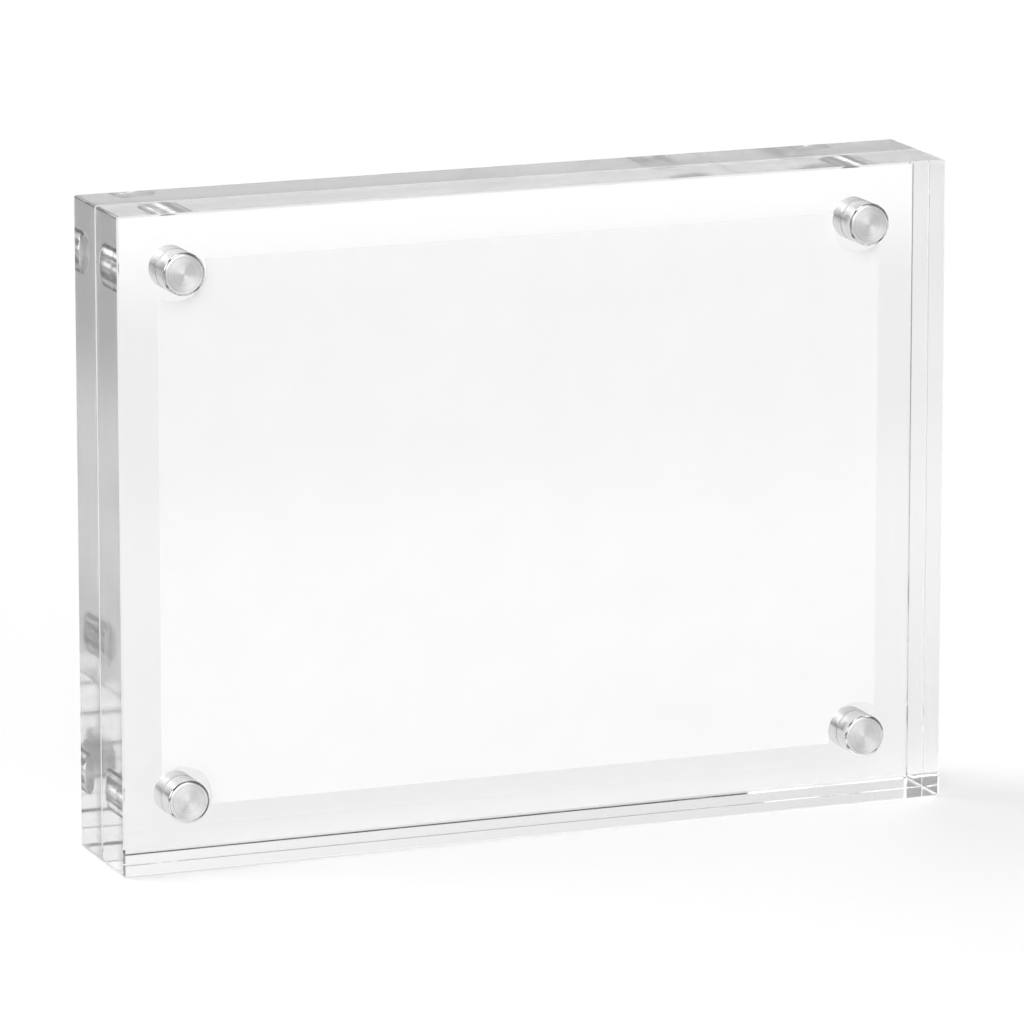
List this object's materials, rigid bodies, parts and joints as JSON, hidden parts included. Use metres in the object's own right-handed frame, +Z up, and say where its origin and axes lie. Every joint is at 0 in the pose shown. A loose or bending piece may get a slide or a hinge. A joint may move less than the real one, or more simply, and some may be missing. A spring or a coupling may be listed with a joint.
{
  "type": "acrylic block frame",
  "caption": "Free-standing clear block frame: thick polished acrylic slabs held face to face by magnets sunk near the corners, with a blank card between them.",
  "frame": {"origin": "on the surface that the frame stands on, under the middle of the whole frame", "axes": "+X along the width to the viewer's right, +Y from the front slab to the rear slab, +Z up"},
  "size_m": [0.2032, 0.0304, 0.1524],
  "materials": {
    "clear_acrylic": "clear cast acrylic, polished faces and edges",
    "white_card": "blank matt white card",
    "magnet_metal": "bright plated metal, fine turned marks on the round faces"
  },
  "bodies": {
    "rear": {"rear_block": "clear_acrylic", "rear_magnet_top_left": "magnet_metal", "rear_magnet_top_right": "magnet_metal", "rear_magnet_bottom_left": "magnet_metal", "rear_magnet_bottom_right": "magnet_metal"},
    "front": {"front_block": "clear_acrylic", "front_magnet_top_left": "magnet_metal", "front_magnet_top_right": "magnet_metal", "front_magnet_bottom_left": "magnet_metal", "front_magnet_bottom_right": "magnet_metal"},
    "card": {"display_card": "white_card"}
  },
  "joints": [
    {"name": "front_pull", "type": "slide", "parent": "rear", "child": "front", "axis": [0, -1, 0], "range_m": [0, 0.08]},
    {"name": "card_lift", "type": "slide", "parent": "rear", "child": "card", "axis": [0, 0, 1], "range_m": [0, 0.145]}
  ]
}
